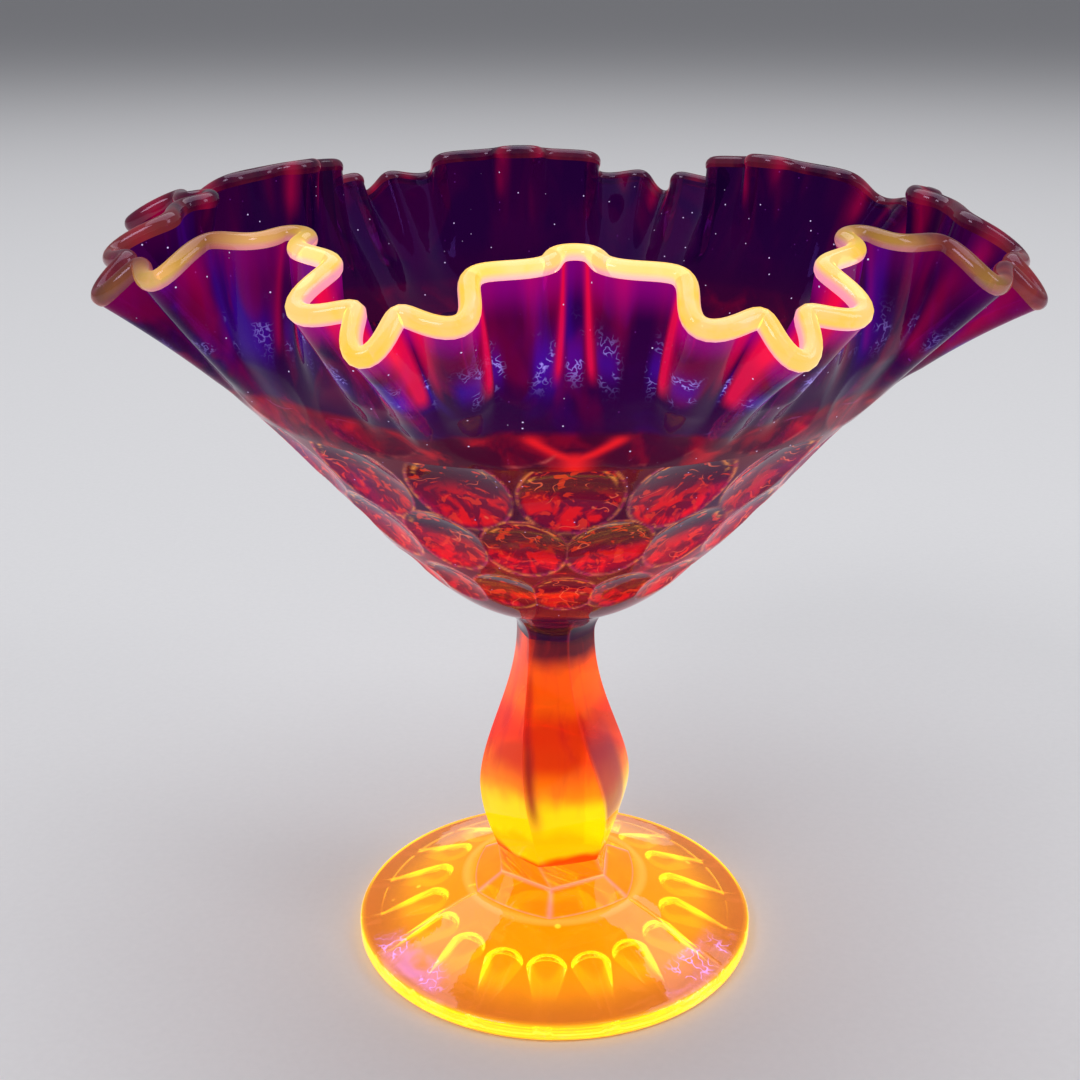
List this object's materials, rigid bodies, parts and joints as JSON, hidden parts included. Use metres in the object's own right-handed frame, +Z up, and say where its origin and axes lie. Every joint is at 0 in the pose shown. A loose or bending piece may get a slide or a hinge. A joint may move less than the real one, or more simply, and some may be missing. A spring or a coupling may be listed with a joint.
{
  "type": "stemmed crimped glass dish",
  "caption": "Stemmed art-glass dish: domed round foot, six-sided twisted baluster stem and a flared thumbprint bowl with a double-crimped ruffled rim.",
  "frame": {"origin": "centre of the foot's resting plane, under the middle of the outline", "axes": "+Z up along the stem; the front of the dish faces -Y"},
  "size_m": [0.1777, 0.1771, 0.1689],
  "materials": {
    "amber_glass": "clear amber-yellow glass, glossy, glowing at the edge and in the petals",
    "orange_glass": "clear orange glass, glossy",
    "flame_glass": "glass shading from yellow at the bottom through orange-red to plum at the top, glossy",
    "ruby_glass": "deep ruby-red glass, glossy",
    "plum_glass": "dark plum-red glass, glossy",
    "glowing_lip": "fire-polished lip with a milky yellow glow"
  },
  "bodies": {
    "root": {"foot": "amber_glass", "plinth": "orange_glass", "stem": "flame_glass", "neck_flare": "ruby_glass", "bowl": "ruby_glass", "skirt": "plum_glass", "lip": "glowing_lip"}
  },
  "joints": []
}
